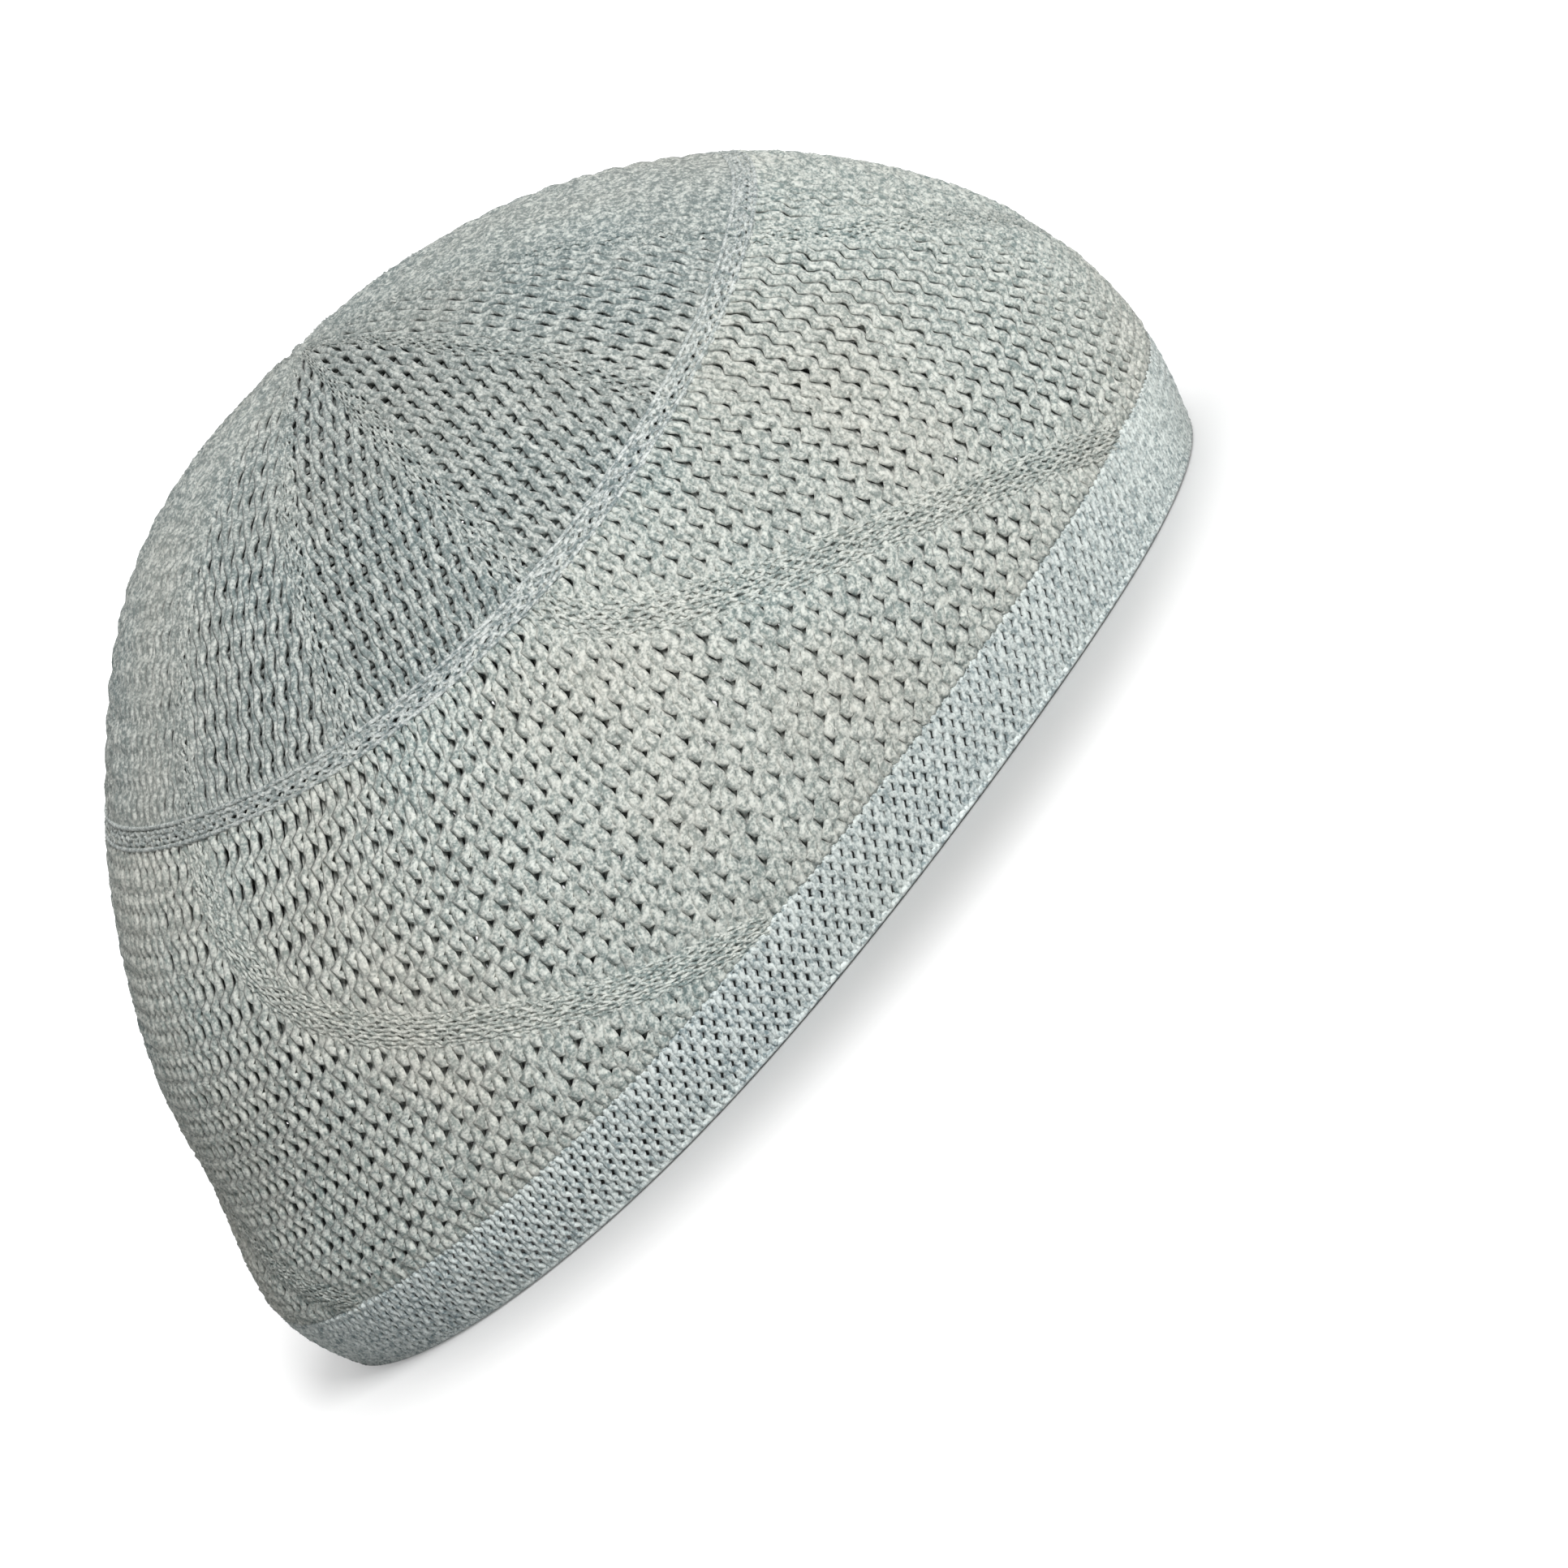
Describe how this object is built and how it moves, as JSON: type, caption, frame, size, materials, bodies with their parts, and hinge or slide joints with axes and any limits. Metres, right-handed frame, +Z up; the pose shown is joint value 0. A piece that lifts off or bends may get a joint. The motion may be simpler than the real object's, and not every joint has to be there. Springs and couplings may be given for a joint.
{
  "type": "kufi skull cap",
  "caption": "Close-fitting openwork knitted skull cap with a fine hem band, swirling close-knit lines, a crown seam ring and a ribbed, gored crown",
  "frame": {"origin": "on the ground under the middle of the cap, with the rim standing on the ground", "axes": "+Z up towards the crown, +X towards the front of the cap, so +Y is the wearer's left"},
  "size_m": [0.2112, 0.1622, 0.1156],
  "materials": {
    "hem_knit": "fine knit, sage and blue-grey melange yarn",
    "side_knit": "openwork knit, sage-grey melange yarn",
    "seam_knit": "close knit seam course, sage-grey melange yarn",
    "crown_knit": "openwork knit, sage-grey melange yarn"
  },
  "bodies": {
    "root": {"headband": "hem_knit", "side_wall": "side_knit", "crown_ring": "seam_knit", "crown": "crown_knit"}
  },
  "joints": []
}
